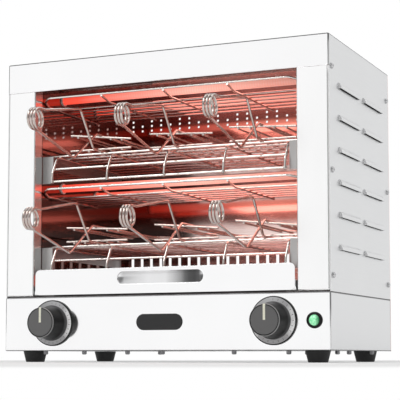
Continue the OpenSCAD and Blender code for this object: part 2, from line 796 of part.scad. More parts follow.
// Crumb tray
module tray_runners() {
  run = win - fit_gap;
  color("darkgray")
  for (s = [0, 1]) mirror([s, 0, 0]) {
    box([run - runner_w, run], [wall_y, back_in - runner_end], [deck_z, deck_z + runner_t]);
    box([run - runner_t, run], [wall_y, back_in - runner_end], [deck_z, deck_z + runner_h]);
  }
}
module tray_front_plate() {
  x = tray_w / 2 - tray_corner;
  z = [tray_z + tray_corner, tray_z + tray_front_h - tray_corner];
  box([-x, x], [front_y, front_in], [tray_z, tray_z + tray_front_h]);
  box([-tray_w / 2, tray_w / 2], [front_y, front_in], z);
  for (s = [-1, 1], h = z) rod_y(s * x, [front_y, front_in], h, 2 * tray_corner);
}
module crumb_tray() {
  half = pan_w / 2;
  y = [front_in, front_in + tray_d];
  color("whitesmoke") {
    difference() {
      tray_front_plate();
      stadium_y(grip_w, grip_h, 0, [front_y - cut, front_in + cut], grip_z);
    }
    difference() {
      box([-half, half], [front_in - cut / 2, y[1]], [pan_z, pan_z + tray_wall_h]);
      box([sheet_t - half, half - sheet_t], [front_in, y[1] - sheet_t],
        [pan_z + sheet_t, pan_z + tray_wall_h + cut]);
    }
  }
}
module tray_grip() {
  outer_w = grip_w + 2 * grip_wall;
  outer_h = grip_h + 2 * grip_wall;
  depth = grip_depth - grip_wall;
  bowl_w = grip_w + grip_bowl_over;
  bowl_r = (bowl_w * bowl_w / 4 + depth * depth) / (2 * depth);
  color("silver")
  difference() {
    stadium_y(outer_w, outer_h, 0, [front_in, front_in + grip_depth], grip_z);
    intersection() {
      stadium_y(grip_w, grip_h, 0, [front_in - cut, front_in + grip_depth], grip_z);
      translate([0, front_in + depth - bowl_r, grip_z - grip_h])
        cylinder(h = 2 * grip_h, r = bowl_r, $fn = bowl_sides);
    }
  }
}

// Controls
module knob(x) {
  face = front_y - knob_out;
  color("dimgray")
  difference() {
    translate([x, face, knob_z]) rotate([-90, 0, 0])
      cylinder(h = knob_out - dial_t - fit_gap, d1 = knob_d, d2 = knob_skirt_d);
    rod_y(x, [face + knob_wall, front_y], knob_z, shaft_d + 2 * shaft_gap);
  }
}
module left_knob() { knob(-knob_x); }
module right_knob() { knob(knob_x); }
module pointer(x) {
  face = front_y - knob_out;
  color("khaki")
    box([x - pointer_w / 2, x + pointer_w / 2], [face - pointer_t, face],
      [knob_z, knob_z + knob_d / 2 - pointer_edge]);
}
module left_pointer() { pointer(-knob_x); }
module right_pointer() { pointer(knob_x); }
module shaft(x) {
  color("gray")
    rod_y(x, [front_y - knob_out + knob_wall + fit_gap, front_in + shaft_in - fit_gap], knob_z, shaft_d);
}
module left_shaft() { shaft(-knob_x); }
module right_shaft() { shaft(knob_x); }
module dial(x) {
  color("silver")
  difference() {
    rod_y(x, [front_y - dial_t, front_y], knob_z, dial_d);
    rod_y(x, [front_y - dial_t - cut, front_y + cut], knob_z, bush_d + 2 * hole_gap);
  }
}
module left_dial() { dial(-knob_x); }
module right_dial() { dial(knob_x); }
module control_case(x) {
  half = switch_w / 2;
  color("tan")
  difference() {
    union() {
      box([x - half, x + half], [front_in, front_in + switch_d], [knob_z - half, knob_z + half]);
      rod_y(x, [front_y - dial_t / 2, front_in + cut], knob_z, bush_d);
    }
    rod_y(x, [front_y - dial_t, front_in + shaft_in], knob_z, shaft_d + 2 * shaft_gap);
  }
}
module selector_switch() { control_case(-knob_x); }
module timer() { control_case(knob_x); }
module lamp_bezel() {
  color("dimgray")
  difference() {
    union() {
      rod_y(lamp_x, [front_y - lamp_lip, front_y], knob_z, lamp_d);
      rod_y(lamp_x, [front_y - cut, front_in + lamp_len], knob_z, lamp_barrel_d);
    }
    rod_y(lamp_x, [front_y - lamp_lip - cut, front_in + lamp_len + cut], knob_z, lamp_lens_d + 2 * hole_gap);
  }
}
module lamp_lens() {
  apex = front_y - lamp_lip - lamp_crown;
  crown_r = lamp_lens_d;
  color("limegreen")
  intersection() {
    rod_y(lamp_x, [apex - cut, front_in + lamp_len], knob_z, lamp_lens_d);
    union() {
      translate([lamp_x, apex + crown_r, knob_z]) sphere(r = crown_r);
      rod_y(lamp_x, [apex + crown_r, front_in + lamp_len + cut], knob_z, lamp_lens_d + 2);
    }
  }
}
module badge_plate() {
  color("dimgray") stadium_y(badge_w, badge_h, 0, [front_y - badge_t, front_y], knob_z);
}

// Mains entry
module cable_gland() {
  flange_t = gland_out / 4;
  flange_d = gland_d + 6;
  dome_d = gland_d + 2;
  thread_l = 9;
  lock_nut_h = 5;
  lock_nut_d = gland_d * 1.35;
  color("black") {
    difference() {
      union() {
        rod_y(gland_x, [back_in - thread_l, back_y + cut], knob_z, gland_d);
        rod_y(gland_x, [back_y, back_y + flange_t], knob_z, flange_d);
        rod_y(gland_x, [back_y, back_y + gland_out], knob_z, dome_d);
      }
      rod_y(gland_x, [back_in - thread_l - cut, back_y + gland_out + cut], knob_z, gland_bore_d);
    }
    difference() {
      translate([gland_x, back_in, knob_z]) rotate([90, 0, 0])
        cylinder(h = lock_nut_h, d = lock_nut_d, $fn = 6);
      rod_y(gland_x, [back_in - lock_nut_h - cut, back_in + cut], knob_z, gland_d + 2 * hole_gap);
    }
  }
}
module terminal_block() {
  z = floor_z + sheet_t;
  y = back_in - block_set;
  color("ivory")
  difference() {
    box([gland_x - block_w / 2, gland_x + block_w / 2], [y, y + block_d], [z, z + block_h]);
    for (i = [-2 : 2])
      rod_z(gland_x + i * port_pitch, y + block_d / 2, [z + block_h / 2, z + block_h + cut], port_d);
  }
}

// Clamps
module at_clamp(i) {
  rack_z = i < 3 ? upper_rack_z : lower_rack_z;
  x = (i % 3 - 1) * clamp_pitch + clamp_shifts[i];
  translate([x, front_y - clamp_pulls[i], rack_z + coil_rise]) children();
}
module clamp_spring(i) {
  rings = concat(
    [ring(tail_point(0), coil_out(0))],
    [for (k = [0 : ring_count]) ring(coil_point(k), coil_out(k))],
    [ring(tail_point(ring_count), coil_out(ring_count))]);
  last = len(rings) - 1;
  color("silver")
  at_clamp(i) polyhedron(
    points = [for (r = rings, p = r) p],
    faces = concat(
      [for (k = [1 : ring_sides - 2]) [0, k + 1, k]],
      [for (r = [0 : last - 1], k = [0 : ring_sides - 1]) let (a = r * ring_sides, n = (k + 1) % ring_sides)
        [a + k, a + n, a + ring_sides + k]],
      [for (r = [0 : last - 1], k = [0 : ring_sides - 1]) let (a = r * ring_sides, n = (k + 1) % ring_sides)
        [a + n, a + ring_sides + n, a + ring_sides + k]],
      [for (k = [1 : ring_sides - 2]) let (a = last * ring_sides) [a, a + k, a + k + 1]]));
}
module jaw_grid(bar_z, rod_z) {
  half = jaw_w / 2;
  for (y = [jaw_y, jaw_back]) rod_x([-half, half], y, bar_z, jaw_bar_d);
  for (k = [1 : jaw_side_rods], s = [-1, 1])
    rod_y(s * k * jaw_rod_pitch, [jaw_y - rod_tail, jaw_back + rod_tail], rod_z, jaw_rod_d);
}
module clamp_lower_jaw(i) {
  color("silver")
  at_clamp(i) {
    bent_wire([
      [coil_w / 2, coil_tail, coil_r],
      [coil_w / 2, coil_lead, coil_r],
      [arm_x, upper_bend_y, upper_bend_z],
      [arm_x, lower_run_y, lower_run_z],
      [arm_x, jaw_back + rod_tail, lower_run_z]], clamp_wire_d, bend_r);
    jaw_grid(lower_bar_z, lower_bar_z - rod_step);
  }
}
module clamp_upper_jaw(i) {
  color("silver")
  at_clamp(i) {
    bent_wire([
      [-coil_w / 2, coil_tail, -coil_r],
      [-coil_w / 2, coil_lead, -coil_r],
      [-arm_x, lower_bend_y, -lower_bend_z],
      [-arm_x, upper_run_y, upper_run_z],
      [-arm_x, jaw_back + rod_tail, upper_run_z]], clamp_wire_d, bend_r);
    translate([0, 0, upper_bar_z]) rotate([0, clamp_rolls[i], 0]) jaw_grid(0, -rod_step);
  }
}

base_pan();
bottom_plate();
rubber_feet();
cavity_floor();
left_cavity_wall();
right_cavity_wall();
roof_reflector();
back_panel();
left_side_panel();
right_side_panel();
rear_angles();
fasteners();
left_front_post();
right_front_post();
top_cover();
quartz_tubes();
heating_coils();
ceramic_caps();
top_guard();
middle_guard();
upper_rack();
lower_rack();
rack_fences();
rack_rails();
tray_runners();
crumb_tray();
tray_grip();
left_knob();
right_knob();
left_pointer();
right_pointer();
left_shaft();
right_shaft();
left_dial();
right_dial();
selector_switch();
timer();
lamp_bezel();
lamp_lens();
badge_plate();
cable_gland();
terminal_block();
for (i = [0 : 5]) {
  clamp_spring(i);
  clamp_lower_jaw(i);
  clamp_upper_jaw(i);
}
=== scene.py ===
import math

import bmesh
import bpy
from mathutils import Matrix, Vector


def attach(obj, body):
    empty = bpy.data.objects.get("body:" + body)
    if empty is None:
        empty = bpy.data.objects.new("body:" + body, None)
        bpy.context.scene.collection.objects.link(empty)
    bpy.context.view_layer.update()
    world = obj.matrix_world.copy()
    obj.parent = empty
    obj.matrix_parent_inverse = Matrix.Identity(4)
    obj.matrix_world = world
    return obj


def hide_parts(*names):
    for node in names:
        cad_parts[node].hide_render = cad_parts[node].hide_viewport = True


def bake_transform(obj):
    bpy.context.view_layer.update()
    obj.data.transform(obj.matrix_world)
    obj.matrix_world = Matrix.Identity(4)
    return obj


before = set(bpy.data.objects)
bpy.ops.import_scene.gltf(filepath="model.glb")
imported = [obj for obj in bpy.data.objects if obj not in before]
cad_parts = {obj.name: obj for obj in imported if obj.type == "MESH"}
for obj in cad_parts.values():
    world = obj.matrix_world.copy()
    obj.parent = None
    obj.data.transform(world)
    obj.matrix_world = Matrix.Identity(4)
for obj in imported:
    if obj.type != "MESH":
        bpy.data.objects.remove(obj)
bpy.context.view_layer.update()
scene = bpy.context.scene
scene.view_settings.view_transform = "Standard"

# The photographer's place: a long lens just above the counter, in front of the cabinet and to its right, with
# the lens raised a little so that the upright edges stay nearly parallel.
camera = bpy.data.objects.new("camera", bpy.data.cameras.new("camera"))
scene.collection.objects.link(camera)
scene.camera = camera
camera.data.sensor_width = 36.0
camera.data.lens = 117.31
camera.data.shift_y = 0.10
camera.data.clip_start, camera.data.clip_end = 0.05, 50.0
camera_turn, camera_tilt = math.radians(23.787), math.radians(5.075)
camera.location = (0.6899, -1.5059, 0.008)
looking = Vector((-math.sin(camera_turn) * math.cos(camera_tilt),
                  math.cos(camera_turn) * math.cos(camera_tilt), math.sin(camera_tilt)))
camera.rotation_euler = looking.to_track_quat("-Z", "Y").to_euler()


# The studio: a white counter that runs out into a white room with a dark ceiling and three dark cards, which
# draw the edges of polished metal. A broad soft lamp stands high at the front left and a weaker one overhead.
def shade(name):
    material = bpy.data.materials.new(name)
    material.use_nodes = True
    return material, material.node_tree, material.node_tree.nodes["Principled BSDF"]


def feed(tree, socket, value):
    if isinstance(value, bpy.types.NodeSocket):
        tree.links.new(value, socket)
    else:
        socket.default_value = value


def maths(tree, operation, *values, clamp=False):
    step = tree.nodes.new("ShaderNodeMath")
    step.operation = operation
    step.use_clamp = clamp
    for socket, value in zip(step.inputs, values):
        feed(tree, socket, value)
    return step.outputs[0]


def vector_maths(tree, operation, *values):
    step = tree.nodes.new("ShaderNodeVectorMath")
    step.operation = operation
    for socket, value in zip(step.inputs, values):
        feed(tree, socket, value)
    return step


def ranged(tree, value, low, high, to_low=0.0, to_high=1.0, smooth=False):
    step = tree.nodes.new("ShaderNodeMapRange")
    step.interpolation_type = "SMOOTHSTEP" if smooth else "LINEAR"
    labels = ("Value", "From Min", "From Max", "To Min", "To Max")
    for label, number in zip(labels, (value, low, high, to_low, to_high)):
        feed(tree, step.inputs[label], number)
    return step.outputs["Result"]


def own_place(tree):
    return tree.nodes.new("ShaderNodeTexCoord").outputs["Object"]


# One for a ray that is seen straight or in a mirror, and nought for one that only carries light.
def seen_rays(tree):
    ray = tree.nodes.new("ShaderNodeLightPath")
    seen = ray.outputs["Is Camera Ray"]
    for kind in ("Is Glossy Ray", "Is Transmission Ray"):
        seen = maths(tree, "MAXIMUM", seen, ray.outputs[kind])
    return seen


def two_lights(tree, factor, first, second, end):
    step = tree.nodes.new("ShaderNodeMixShader")
    feed(tree, step.inputs["Fac"], factor)
    tree.links.new(first.outputs[0], step.inputs[1])
    tree.links.new(second.outputs[0], step.inputs[2])
    tree.links.new(step.outputs[0], end.inputs["Surface"])


room = bpy.data.worlds.new("white_room")
scene.world = room
room.use_nodes = True
air = room.node_tree
air.nodes.clear()
seen_room = air.nodes.new("ShaderNodeBackground")
lighting_room = air.nodes.new("ShaderNodeBackground")
for light in (seen_room, lighting_room):
    light.inputs["Color"].default_value = (1, 1, 1, 1)
lighting_room.inputs["Strength"].default_value = 0.5
room_way = air.nodes.new("ShaderNodeTexCoord").outputs["Generated"]
ceiling_and_cards = (((0, 0, 1), 0.62, 0.85, 0.20), ((-1, 0.18, 0.05), 0.46, 0.72, 0.16),
                     ((0.34, -0.94, 0), 0.80, 0.94, 0.22), ((0.93, -0.37, 0.05), 0.86, 0.96, 0.30))
room_tone = 1.0
for aim, start, full, depth in ceiling_and_cards:
    toward = vector_maths(air, "DOT_PRODUCT", room_way, Vector(aim).normalized()).outputs["Value"]
    room_tone = maths(air, "MULTIPLY", room_tone, ranged(air, toward, start, full, 1.0, depth, smooth=True))
plain_sight = air.nodes.new("ShaderNodeLightPath").outputs["Is Camera Ray"]
feed(air, seen_room.inputs["Strength"], maths(air, "MAXIMUM", plain_sight, room_tone))
two_lights(air, seen_rays(air), lighting_room, seen_room, air.nodes.new("ShaderNodeOutputWorld"))

counter_reach = 6.0
counter_mesh = bpy.data.meshes.new("counter")
counter_mesh.from_pydata([(x * counter_reach, y * counter_reach, 0)
                          for x, y in ((-1, -1), (1, -1), (1, 1), (-1, 1))], [], [(0, 1, 2, 3)])
counter = bpy.data.objects.new("counter", counter_mesh)
scene.collection.objects.link(counter)
counter_white, tree, bsdf = shade("counter_white")
bsdf.inputs["Base Color"].default_value = (0.77, 0.77, 0.77, 1)
bsdf.inputs["Roughness"].default_value = 0.9
# Near the middle the counter shows its own grey lit shade instead of white, running out to white between 0.6
# and 0.88 m: a painted shadow round and in front of the cabinet.
from_middle = vector_maths(tree, "LENGTH", own_place(tree)).outputs["Value"]
painted_shadow_run_out = ranged(tree, from_middle, 0.60, 0.88, 0.38, 1.0, smooth=True)
seen_white = maths(tree, "MULTIPLY", seen_rays(tree), painted_shadow_run_out)
two_lights(tree, seen_white, bsdf, tree.nodes.new("ShaderNodeEmission"), tree.nodes["Material Output"])
counter_mesh.materials.append(counter_white)


def soft_lamp(name, place, aim, width, watts):
    lamp = bpy.data.objects.new(name, bpy.data.lights.new(name, "AREA"))
    lamp.data.shape = "SQUARE"
    lamp.data.size = width
    lamp.data.energy = watts
    lamp.location = place
    lamp.rotation_euler = (Vector(aim) - Vector(place)).to_track_quat("-Z", "Y").to_euler()
    scene.collection.objects.link(lamp)
    return lamp


soft_lamp("front_lamp", (-0.9, -1.5, 2.3), aim=(0, 0, 0.2), width=1.2, watts=26.0)
soft_lamp("top_lamp", (0.5, 0.3, 2.6), aim=(0, 0, 0.2), width=1.6, watts=12.0)


# The outer casing: stainless sheet, polished on the front pieces and satin on the sides and underneath. The
# pieces are cut, folded and screwed together, so each edge is slightly rounded and the grain runs one way.
def parts_of(tree, vector):
    step = tree.nodes.new("ShaderNodeSeparateXYZ")
    tree.links.new(vector, step.inputs["Vector"])
    return step.outputs


def facing_parts(tree):
    return parts_of(tree, tree.nodes.new("ShaderNodeNewGeometry").outputs["Normal"])


def stretched(tree, place, scale):
    step = tree.nodes.new("ShaderNodeMapping")
    step.inputs["Scale"].default_value = scale
    tree.links.new(place, step.inputs["Vector"])
    return step.outputs["Vector"]


def noise(tree, place, scale, detail=2.0):
    step = tree.nodes.new("ShaderNodeTexNoise")
    step.inputs["Scale"].default_value = scale
    step.inputs["Detail"].default_value = detail
    tree.links.new(place, step.inputs["Vector"])
    return step.outputs["Fac"]


def mixed(tree, factor, first, second, blend="MIX"):
    step = tree.nodes.new("ShaderNodeMix")
    step.data_type = "RGBA"
    step.blend_type = blend
    feed(tree, step.inputs["Factor"], factor)
    for label, tone in (("A", first), ("B", second)):
        feed(tree, step.inputs[label], tone if isinstance(tone, bpy.types.NodeSocket) else (*tone, 1))
    return step.outputs["Result"]


def uneven(tree, factor, tone, darker, lighter):
    return mixed(tree, factor, [c * darker for c in tone], [min(1.0, c * lighter) for c in tone])


def relief(tree, bsdf, height, strength, distance):
    step = tree.nodes.new("ShaderNodeBump")
    step.inputs["Strength"].default_value = strength
    step.inputs["Distance"].default_value = distance
    tree.links.new(height, step.inputs["Height"])
    tree.links.new(step.outputs["Normal"], bsdf.inputs["Normal"])


# Steel with scratches along one axis. The other tones go on faces that point sideways, down or to the front,
# and on rounded folds, which face partly upwards: the sideways and fold tones are painted shade and the front
# tone is painted light.
def sheet_steel(name, tone, roughness, grain, grain_depth=0.0, side_shade_tone=None, under_tone=None,
                under_from=-0.7, fold_shade_tone=None, front_tone=None):
    material, tree, bsdf = shade(name)
    place = own_place(tree)
    across_grain, along_grain = 900.0, 15.0
    grain_scale = [along_grain if axis == grain else across_grain for axis in "xyz"]
    scratches = noise(tree, stretched(tree, place, grain_scale), 1.0, 3.0)
    colour = uneven(tree, noise(tree, place, 9.0), tone, 0.965, 1.02)
    gloss = ranged(tree, scratches, 0.0, 1.0, roughness * 0.8, roughness * 1.25)
    metal = 1.0
    x, y, z = facing_parts(tree)
    # Sideways faces: the satin roughness, and the darker satin tone as painted shade.
    if side_shade_tone:
        sideways = maths(tree, "ABSOLUTE", x)
        colour = mixed(tree, sideways, colour, side_shade_tone)
        gloss = ranged(tree, sideways, 0.0, 1.0, gloss, satin_roughness)
    # Downward faces: a dark tone, which on the base pan is painted shade.
    if under_tone:
        colour = mixed(tree, maths(tree, "LESS_THAN", z, under_from), colour, under_tone)
    # Rounded folds: a dark tone, painted shade along the top edges, with more roughness.
    if fold_shade_tone:
        not_flat = maths(tree, "LESS_THAN", z, 0.97)
        on_fold = maths(tree, "MULTIPLY", ranged(tree, z, 0.01, 0.06), not_flat)
        colour = mixed(tree, on_fold, colour, fold_shade_tone)
        gloss = ranged(tree, on_fold, 0.0, 1.0, gloss, 0.5)
    # Front faces: a lighter, less metallic tone as painted light.
    if front_tone:
        painted_front_light = ranged(tree, y, -0.08, -0.35)
        colour = mixed(tree, painted_front_light, colour, front_tone)
        metal = ranged(tree, painted_front_light, 0.0, 1.0, 1.0, 0.1)
    feed(tree, bsdf.inputs["Base Color"], colour)
    feed(tree, bsdf.inputs["Roughness"], gloss)
    feed(tree, bsdf.inputs["Metallic"], metal)
    relief(tree, bsdf, scratches, grain_depth, 0.0005)
    return material


def dress(material, *names):
    for name in names:
        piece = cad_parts[name]
        piece.data.materials.clear()
        piece.data.materials.append(material)


def mesh_of(work, name):
    mesh = bpy.data.meshes.new(name)
    work.to_mesh(mesh)
    work.free()
    return mesh


def show(name, mesh, material):
    mesh.materials.append(material)
    piece = bpy.data.objects.new(name, mesh)
    scene.collection.objects.link(piece)
    return piece


def settle(piece, body, slot, *nodes):
    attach(piece, body)
    if nodes:
        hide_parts(*nodes)


# A copy of a CAD sheet with its long outer folds rounded, and then every cut edge.
def folded(node, material, body, slot, edge=0.00045, fold=0.0, flat_area=4e-5):
    work = bmesh.new()
    work.from_mesh(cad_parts[node].data)
    bmesh.ops.remove_doubles(work, verts=work.verts[:], dist=1e-6)
    bmesh.ops.dissolve_limit(work, angle_limit=math.radians(1.0), verts=work.verts[:], edges=work.edges[:])
    low = [min(v.co[k] for v in work.verts) for k in range(3)]
    high = [max(v.co[k] for v in work.verts) for k in range(3)]

    def outermost(face):
        middle = face.calc_center_median()
        return any(abs(face.normal[k]) > 0.99 and min(middle[k] - low[k], high[k] - middle[k]) < 1e-5
                   for k in range(3))

    def corners():
        return [e for e in work.edges if len(e.link_faces) == 2 and e.calc_face_angle(0.0) > math.radians(50)]

    if fold:
        folds = [e for e in corners() if e.calc_length() > 0.01 and all(outermost(f) for f in e.link_faces)]
        bmesh.ops.bevel(work, geom=folds, offset=fold, offset_type="OFFSET", segments=4, profile=0.5,
                        affect="EDGES", clamp_overlap=False)
    bmesh.ops.bevel(work, geom=corners(), offset=edge, offset_type="OFFSET", segments=2, profile=0.5,
                    affect="EDGES", clamp_overlap=True)
    for face in work.faces:
        face.smooth = True
    for e in work.edges:
        sheets = [f for f in e.link_faces if f.calc_area() > flat_area]
        e.smooth = len(e.link_faces) == 2 and not sheets and e.calc_face_angle(0.0) < math.radians(40)
    name = node + "_sheet"
    settle(show(name, mesh_of(work, name), material), body, slot, node)


# On the polished front pieces, the darker tone on sideways faces and the dark tone on the top folds are
# painted shade, and so is the dark under tone on the base pan. The fascia's underside takes a dark brownish
# tone. On the side panels, the lighter front tone is painted light.
polish_tone, polish_roughness = (0.95, 0.95, 0.955), 0.09
satin_tone, satin_roughness = (0.72, 0.725, 0.73), 0.34
fold_round = 0.0015
polished_front = sheet_steel("polished_front_sheet", polish_tone, polish_roughness, "x", side_shade_tone=satin_tone,
                             under_tone=(0.12, 0.12, 0.12), under_from=-0.25, fold_shade_tone=(0.30, 0.30, 0.305))
polished_fascia = sheet_steel("polished_fascia_sheet", polish_tone, polish_roughness, "x",
                              side_shade_tone=satin_tone, under_tone=(0.22, 0.15, 0.14),
                              fold_shade_tone=(0.12, 0.12, 0.122))
polished_post = sheet_steel("polished_post_sheet", (0.99, 0.99, 0.992), 0.22, "z")
satin_side = sheet_steel("satin_side_sheet", satin_tone, satin_roughness, "y", grain_depth=0.01,
                         front_tone=(0.93, 0.93, 0.935))
satin_under = sheet_steel("satin_back_sheet", (0.74, 0.745, 0.75), 0.36, "x")
folded("base_pan", polished_front, "cabinet", "casing", fold=fold_round)
folded("top_cover", polished_fascia, "cabinet", "casing", fold=fold_round)
folded("left_front_post", polished_post, "cabinet", "casing", fold=fold_round)
folded("right_front_post", polished_post, "cabinet", "casing", fold=fold_round)
dress(satin_side, "left_side_panel", "right_side_panel")
dress(satin_under, "bottom_plate")

# The feet: moulded black rubber cups, wide at the top, each held up by a bolt through its web. Rubber picks
# up a little dust, so the black is uneven and dull.
mm = 0.001
front_y, back_y = -64.26 * mm, 191.74 * mm


# A closed outline of radius and height, in millimetres, turned about the upright axis.
def turned(name, profile, steps=48):
    work = bmesh.new()
    rings = []
    for k in range(steps):
        angle = 2 * math.pi * k / steps
        across, along = math.cos(angle), math.sin(angle)
        rings.append([work.verts.new((r * mm * across, r * mm * along, z * mm)) for r, z in profile])
    for here, there in zip(rings, rings[1:] + rings[:1]):
        for j in range(len(profile)):
            n = (j + 1) % len(profile)
            work.faces.new((here[j], there[j], there[n], here[n]))
    bmesh.ops.remove_doubles(work, verts=work.verts[:], dist=1e-7)
    bmesh.ops.recalc_face_normals(work, faces=work.faces[:])
    mesh = mesh_of(work, name)
    mesh.shade_smooth()
    mesh.set_sharp_from_angle(angle=math.radians(38))
    return mesh


def tree_with(name, sockets):
    tree = bpy.data.node_groups.new(name, "GeometryNodeTree")
    tree.interface.new_socket("Geometry", in_out="INPUT", socket_type="NodeSocketGeometry")
    for label, kind in sockets:
        tree.interface.new_socket(label, in_out="INPUT", socket_type="NodeSocket" + kind)
    tree.interface.new_socket("Geometry", in_out="OUTPUT", socket_type="NodeSocketGeometry")
    return tree, tree.nodes.new("NodeGroupInput").outputs, tree.nodes.new("NodeGroupOutput").inputs


# What a node tree makes of a mesh, kept as a plain mesh.
def grown(name, mesh, tree, **values):
    piece = bpy.data.objects.new(name, mesh)
    scene.collection.objects.link(piece)
    step = piece.modifiers.new("tree", "NODES")
    step.node_group = tree
    for socket in tree.interface.items_tree:
        if socket.in_out == "INPUT" and socket.name in values:
            step[socket.identifier] = values[socket.name]
    bpy.context.view_layer.update()
    evaluated = piece.evaluated_get(bpy.context.evaluated_depsgraph_get())
    made = bpy.data.meshes.new_from_object(evaluated)
    piece.modifiers.clear()
    piece.data = made
    made.name = name
    return piece


# One copy of a piece on each point, with its top turned the way that the point faces.
set_out, entry, leave = tree_with("set_out_like_pieces", (("Piece", "Object"), ("Finish", "Material")))
sample = set_out.nodes.new("GeometryNodeObjectInfo")
facing_read = set_out.nodes.new("GeometryNodeInputNamedAttribute")
facing_read.data_type = "FLOAT_VECTOR"
facing_read.inputs["Name"].default_value = "facing"
turn_out = set_out.nodes.new("FunctionNodeAlignRotationToVector")
turn_out.axis = "Z"
copies = set_out.nodes.new("GeometryNodeInstanceOnPoints")
real = set_out.nodes.new("GeometryNodeRealizeInstances")
finish = set_out.nodes.new("GeometryNodeSetMaterial")
set_out.links.new(entry["Geometry"], copies.inputs["Points"])
set_out.links.new(entry["Piece"], sample.inputs["Object"])
set_out.links.new(sample.outputs["Geometry"], copies.inputs["Instance"])
set_out.links.new(facing_read.outputs["Attribute"], turn_out.inputs["Vector"])
set_out.links.new(turn_out.outputs["Rotation"], copies.inputs["Rotation"])
set_out.links.new(copies.outputs["Instances"], real.inputs["Geometry"])
set_out.links.new(real.outputs["Geometry"], finish.inputs["Geometry"])
set_out.links.new(entry["Finish"], finish.inputs["Material"])
set_out.links.new(finish.outputs["Geometry"], leave["Geometry"])


def set_out_pieces(name, sample_mesh, places, facing, material):
    points = bpy.data.meshes.new(name)
    points.from_pydata(places, [], [])
    attribute = points.attributes.new("facing", "FLOAT_VECTOR", "POINT")
    for k, direction in enumerate(facing):
        attribute.data[k].vector = direction
    pattern = bpy.data.objects.new(name + "_pattern", sample_mesh)
    piece = grown(name, points, set_out, Piece=pattern, Finish=material)
    bpy.data.objects.remove(pattern)
    return piece


foot_rubber, tree, bsdf = shade("foot_rubber")
dust = noise(tree, own_place(tree), 160.0, 4.0)
feed(tree, bsdf.inputs["Base Color"], mixed(tree, dust, (0.010, 0.010, 0.010), (0.030, 0.030, 0.031)))
bsdf.inputs["Roughness"].default_value = 0.55
foot_profile = [(2.7, 9.0), (4.75, 9.0), (4.75, 0.7), (5.3, 0.0), (11.0, 0.0), (11.7, 0.3), (12.1, 1.0),
                (15.0, 12.6), (15.25, 13.3), (15.1, 14.0), (2.7, 14.0)]
foot_x, foot_inset = 193.5 * mm, 31 * mm
foot_rows = (front_y + foot_inset, back_y - foot_inset)
foot_places = [(side * foot_x, y, 0.0) for side in (-1, 1) for y in foot_rows]
feet = set_out_pieces("rubber_cups", turned("foot", foot_profile), foot_places,
                      [(0, 0, 1)] * len(foot_places), foot_rubber)
settle(feet, "cabinet", "foot", "rubber_feet")


# The fasteners: pan-head screws with a cross slot on the casing, button studs under the base and hexagon
# bolts in the feet. Each is pressed from bright steel wire and driven into the folded sheet.
def bright_steel(name, tone, roughness):
    material, tree, bsdf = shade(name)
    speck = noise(tree, own_place(tree), 700.0)
    feed(tree, bsdf.inputs["Base Color"], uneven(tree, speck, tone, 0.88, 1.08))
    feed(tree, bsdf.inputs["Roughness"], ranged(tree, speck, 0.0, 1.0, roughness * 0.7, roughness * 1.4))
    bsdf.inputs["Metallic"].default_value = 1.0
    return material


def cross_head(name, radius, height, slot_half, slot_width, slot_depth):
    work = bmesh.new()
    steps = 24
    angles = [2 * math.pi * k / steps for k in range(steps)]

    def ring(r, z):
        return [work.verts.new((r * math.cos(a), r * math.sin(a), z)) for a in angles]

    def around(loop):
        return list(zip(loop, loop[1:] + loop[:1]))

    rim = ring(radius * 0.8, height)
    w, h = slot_width / 2, slot_half
    cross = [(w, w), (w, h), (-w, h), (-w, w), (-h, w), (-h, -w),
             (-w, -w), (-w, -h), (w, -h), (w, -w), (h, -w), (h, w)]
    slot = [work.verts.new((x, y, height)) for x, y in cross]
    outline = [work.edges.new(pair) for pair in around(rim) + around(slot)]
    bmesh.ops.triangle_fill(work, use_beauty=True, edges=outline)
    deep = [work.verts.new((x * 0.7, y * 0.7, height - slot_depth)) for x, y in cross]
    for (a, b), (c, d) in zip(around(slot), around(deep)):
        work.faces.new((a, b, d, c))
    work.faces.new(deep)
    upper = rim
    for r, z in ((radius * 0.95, height * 0.8), (radius, height * 0.45), (radius, 0.0)):
        lower = ring(r, z)
        for (a, b), (c, d) in zip(around(upper), around(lower)):
            work.faces.new((a, c, d, b))
        upper = lower
    work.faces.new(upper[::-1])
    bmesh.ops.recalc_face_normals(work, faces=work.faces[:])
    mesh = mesh_of(work, name)
    mesh.shade_smooth()
    mesh.set_sharp_from_angle(angle=math.radians(50))
    return mesh


screw_steel = bright_steel("screw_steel", (0.62, 0.62, 0.63), 0.24)
cabinet_half, flange_middle = 220 * mm, 10.2 * mm
side_screw_heights = (102.0, 226.0, 350.0)
rear_screws = ((210.8, 30.0), (210.8, 66.5), (211.8, 122.0), (211.8, 246.0), (211.8, 370.0), (120.0, 380.8))
screw_places, screw_facing = [], []
for side in (-1, 1):
    for y in (front_y + flange_middle, back_y - flange_middle):
        for z in side_screw_heights:
            screw_places.append((side * cabinet_half, y, z * mm))
            screw_facing.append((side, 0, 0))
    for x, z in rear_screws:
        screw_places.append((side * x * mm, back_y, z * mm))
        screw_facing.append((0, 1, 0))
screw_places.append((0.0, back_y, rear_screws[-1][1] * mm))
screw_facing.append((0, 1, 0))
pan_head = cross_head("pan_head", radius=3.5 * mm, height=2.2 * mm, slot_half=1.9 * mm, slot_width=0.9 * mm,
                      slot_depth=1.1 * mm)
screws = set_out_pieces("casing_screws", pan_head, screw_places, screw_facing, screw_steel)
settle(screws, "cabinet", "fastener", "fasteners")

